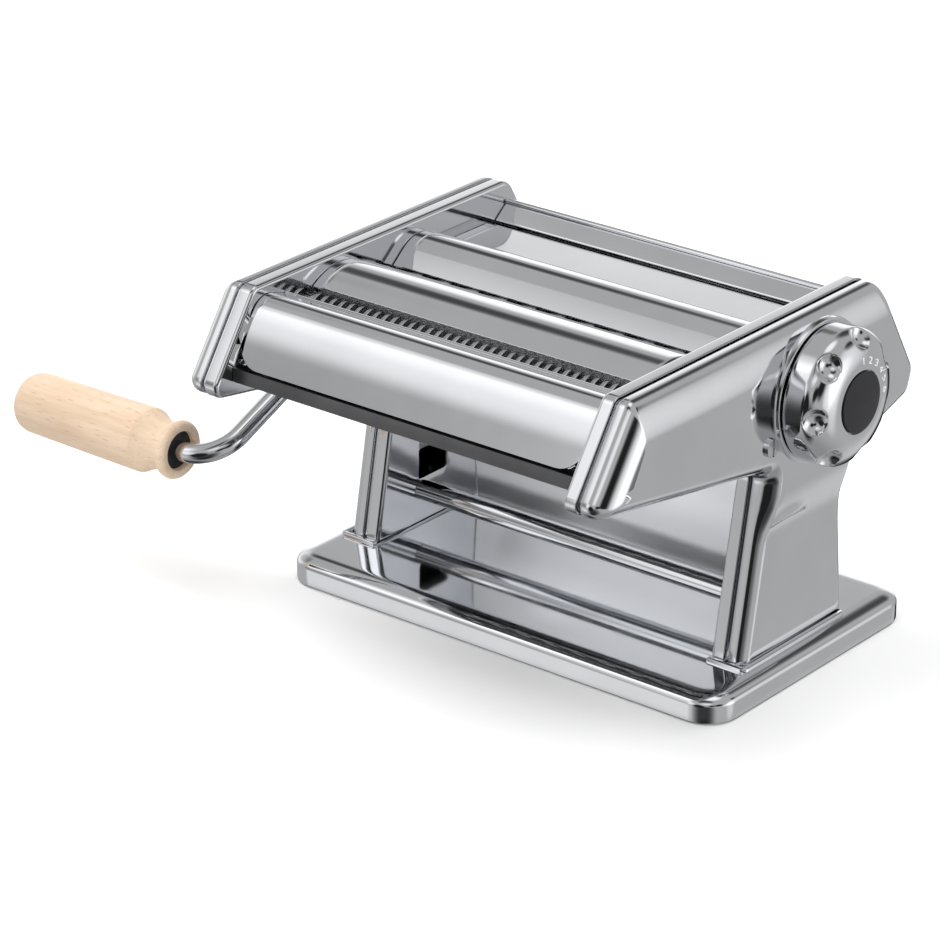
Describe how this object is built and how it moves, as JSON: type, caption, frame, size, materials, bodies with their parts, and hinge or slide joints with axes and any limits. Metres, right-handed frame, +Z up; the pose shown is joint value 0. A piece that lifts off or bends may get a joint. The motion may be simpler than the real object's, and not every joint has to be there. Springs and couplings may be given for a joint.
{
  "type": "hand cranked pasta machine",
  "caption": "Hand cranked pasta machine: chromed body with smooth rollers, wide and fine cutters, a thickness dial and a wooden crank grip.",
  "frame": {"origin": "centre of the base's footprint, on the surface that the machine stands on", "axes": "+X along the rollers towards the dial, -Y towards the fine cutter's front, +Z up"},
  "size_m": [0.3117, 0.1848, 0.132],
  "materials": {
    "chrome_sheet": "polished, mirror bright",
    "chrome_plate": "polished",
    "chrome_rod": "polished",
    "roller_steel": "ground and plated",
    "dark_steel": "satin",
    "gear_steel": "machined",
    "screw_steel": "plated",
    "bush_plastic": "moulded",
    "black_plastic": "gloss black",
    "foot_rubber": "matt",
    "beech": "turned and oiled"
  },
  "bodies": {
    "frame": {"base_tray": "chrome_sheet", "rubber_feet": "foot_rubber", "left_side_plate": "chrome_plate", "right_side_plate": "chrome_plate", "left_outer_cover": "chrome_sheet", "right_outer_cover": "chrome_sheet", "foot_lips": "chrome_plate", "front_cover": "chrome_sheet", "middle_cover": "chrome_sheet", "feed_cover": "chrome_sheet", "rear_feed_plate": "chrome_sheet", "rear_cover": "chrome_sheet", "lower_rear_panel": "chrome_plate", "tie_rods": "dark_steel", "lower_tie_bar": "chrome_rod", "tie_screws": "screw_steel", "cover_screws": "screw_steel", "bearing_bushes": "bush_plastic", "fine_combs": "dark_steel", "wide_combs": "dark_steel", "smooth_scraper": "dark_steel", "slide_guides": "dark_steel", "socket_collars": "black_plastic", "dial_boss": "chrome_sheet", "dial_studs": "chrome_sheet"},
    "drive_roller": {"front_smooth_roller": "roller_steel", "front_smooth_gear": "gear_steel"},
    "crank": {"crank_rod": "chrome_rod", "crank_pin": "dark_steel", "grip_washer": "chrome_rod"},
    "grip": {"wooden_grip": "beech", "grip_bush": "black_plastic"},
    "gap_carriage": {"carriage_right_plate": "dark_steel", "carriage_left_plate": "dark_steel", "carriage_rod": "dark_steel", "carriage_scraper": "dark_steel"},
    "idle_roller": {"rear_smooth_roller": "roller_steel", "rear_smooth_gear": "gear_steel"},
    "wide_driven": {"rear_wide_cutter": "roller_steel", "rear_wide_gear": "gear_steel"},
    "wide_idle": {"front_wide_cutter": "roller_steel", "front_wide_gear": "gear_steel"},
    "fine_driven": {"rear_fine_cutter": "roller_steel", "rear_fine_gear": "gear_steel"},
    "fine_idle": {"front_fine_cutter": "roller_steel", "front_fine_gear": "gear_steel"},
    "dial_spindle": {"dial_shaft": "dark_steel"},
    "dial": {"dial_knob": "chrome_sheet", "dial_cap": "black_plastic", "dial_spring": "dark_steel", "index_pin": "dark_steel"}
  },
  "joints": [
    {"name": "drive_spin", "type": "hinge", "parent": "frame", "child": "drive_roller", "pos_m": [0, 0.0194, 0.099], "axis": [1, 0, 0], "continuous": true},
    {"name": "crank_pull", "type": "slide", "parent": "drive_roller", "child": "crank", "axis": [-1, 0, 0], "range_m": [0, 0.03]},
    {"name": "grip_spin", "type": "hinge", "parent": "crank", "child": "grip", "pos_m": [-0.16, -0.08614, 0.05333], "axis": [1, 0, 0], "continuous": true},
    {"name": "gap_shift", "type": "slide", "parent": "frame", "child": "gap_carriage", "axis": [0, 1, 0], "range_m": [0, 0.0022]},
    {"name": "idle_roller_spin", "type": "hinge", "parent": "gap_carriage", "child": "idle_roller", "pos_m": [0, 0.0426, 0.099], "axis": [1, 0, 0], "continuous": true},
    {"name": "wide_spin", "type": "hinge", "parent": "frame", "child": "wide_driven", "pos_m": [0, -0.0197, 0.107], "axis": [1, 0, 0], "continuous": true},
    {"name": "wide_idle_spin", "type": "hinge", "parent": "frame", "child": "wide_idle", "pos_m": [0, -0.0403, 0.107], "axis": [1, 0, 0], "continuous": true},
    {"name": "fine_spin", "type": "hinge", "parent": "frame", "child": "fine_driven", "pos_m": [0, -0.0661, 0.111], "axis": [1, 0, 0], "continuous": true},
    {"name": "fine_idle_spin", "type": "hinge", "parent": "frame", "child": "fine_idle", "pos_m": [0, -0.0867, 0.111], "axis": [1, 0, 0], "continuous": true},
    {"name": "dial_turn", "type": "hinge", "parent": "frame", "child": "dial_spindle", "pos_m": [0.1, 0.004, 0.105], "axis": [1, 0, 0], "range_deg": [0, 80]},
    {"name": "dial_pull", "type": "slide", "parent": "dial_spindle", "child": "dial", "axis": [1, 0, 0], "range_m": [0, 0.004], "stiffness_N_per_m": 600, "springref_m": -0.005}
  ],
  "couplings": [
    {"joint": "gap_shift", "follows": "dial_turn", "m_per_rad": 0.0015756},
    {"joint": "idle_roller_spin", "follows": "drive_spin", "ratio": -1},
    {"joint": "wide_idle_spin", "follows": "wide_spin", "ratio": -1},
    {"joint": "fine_idle_spin", "follows": "fine_spin", "ratio": -1}
  ]
}
